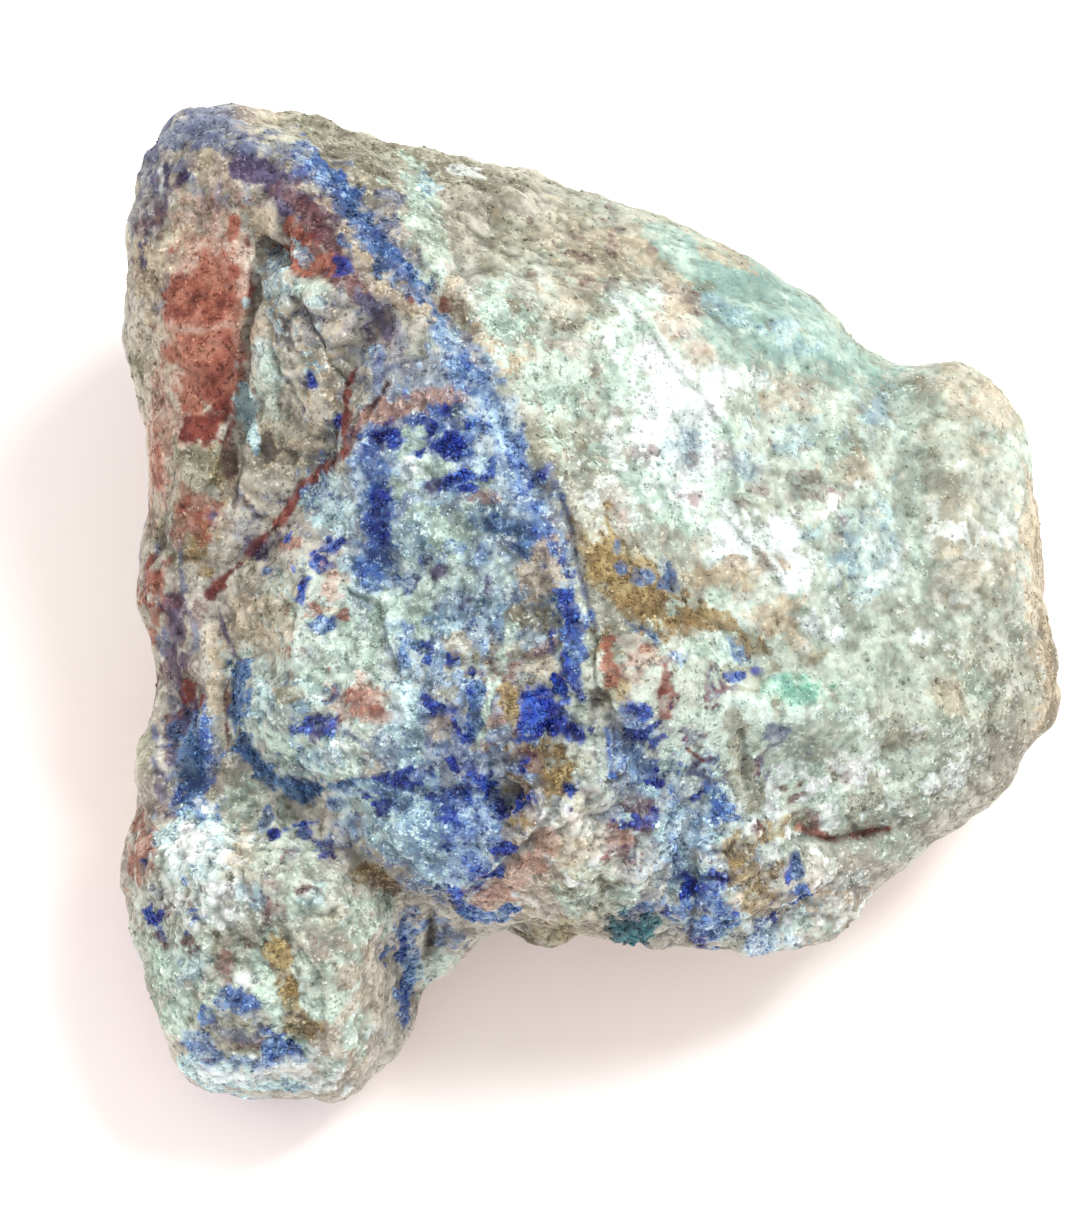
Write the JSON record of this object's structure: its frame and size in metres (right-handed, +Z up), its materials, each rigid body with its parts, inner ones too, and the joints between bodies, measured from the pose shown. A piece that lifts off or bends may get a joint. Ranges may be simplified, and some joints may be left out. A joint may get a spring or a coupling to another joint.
{
  "type": "azurite malachite specimen",
  "caption": "Broken cabinet-size rock crusted with blue azurite and green malachite, with one coloured display face, a lobe at its lower left and a flat worn underside that it rests on.",
  "frame": {"origin": "middle of the rock's footprint box, on the surface that it rests on", "axes": "+Z up, +X towards the right end of the display face, +Y towards the back, away from a viewer who looks down on the display face"},
  "size_m": [0.0946, 0.0964, 0.0528],
  "materials": {
    "mineral_crust": "rough earthy limestone crusted with pale green malachite and granular blue azurite"
  },
  "bodies": {
    "root": {"specimen": "mineral_crust"}
  },
  "joints": []
}
